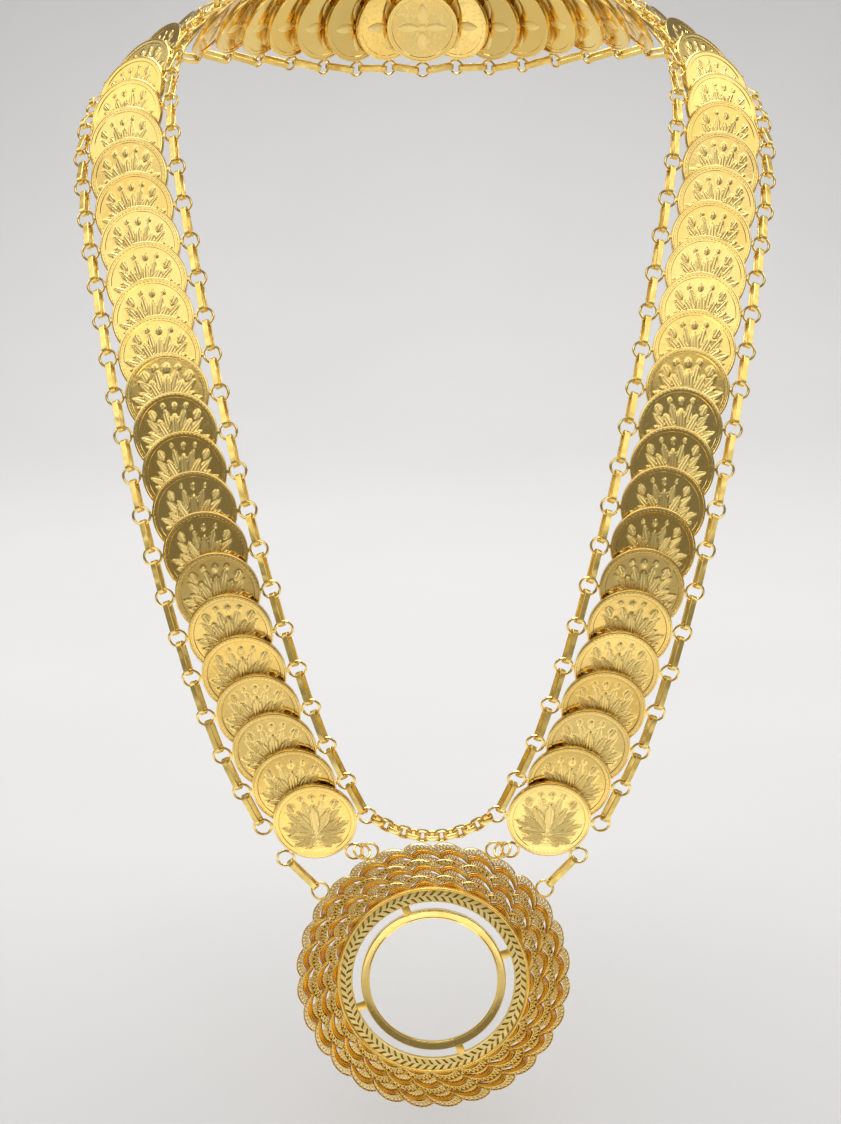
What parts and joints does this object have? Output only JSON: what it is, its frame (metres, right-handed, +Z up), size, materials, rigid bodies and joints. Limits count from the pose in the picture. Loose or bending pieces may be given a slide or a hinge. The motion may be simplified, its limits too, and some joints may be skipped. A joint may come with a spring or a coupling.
{
  "type": "coin necklace with pendant",
  "caption": "Gold necklace of overlapping bezel-set coins linked in two rows, with a short bridle chain and a round openwork pendant that has an empty coin ring.",
  "frame": {"origin": "middle of the neck that the necklace is worn on, at the height where the strand crosses the shoulders", "axes": "+Z up along the neck, +X to the viewer's right when the pendant is seen from the front, front faces -Y"},
  "size_m": [0.2028, 0.1736, 0.3123],
  "materials": {
    "coin_gold": "polished fields, frosted relief",
    "link_gold": "polished",
    "chain_gold": "polished",
    "filigree_gold": "fine openwork wire, diamond-cut collar"
  },
  "bodies": {
    "root": {"coins_left": "coin_gold", "coins_right": "coin_gold", "nape_coin": "coin_gold", "outer_links_left": "link_gold", "outer_links_right": "link_gold", "inner_links_left": "link_gold", "inner_links_right": "link_gold", "bridle_chain": "chain_gold", "drop_link_left": "link_gold", "drop_link_right": "link_gold", "jump_ring_left": "link_gold", "jump_ring_right": "link_gold", "pendant": "filigree_gold"}
  },
  "joints": []
}
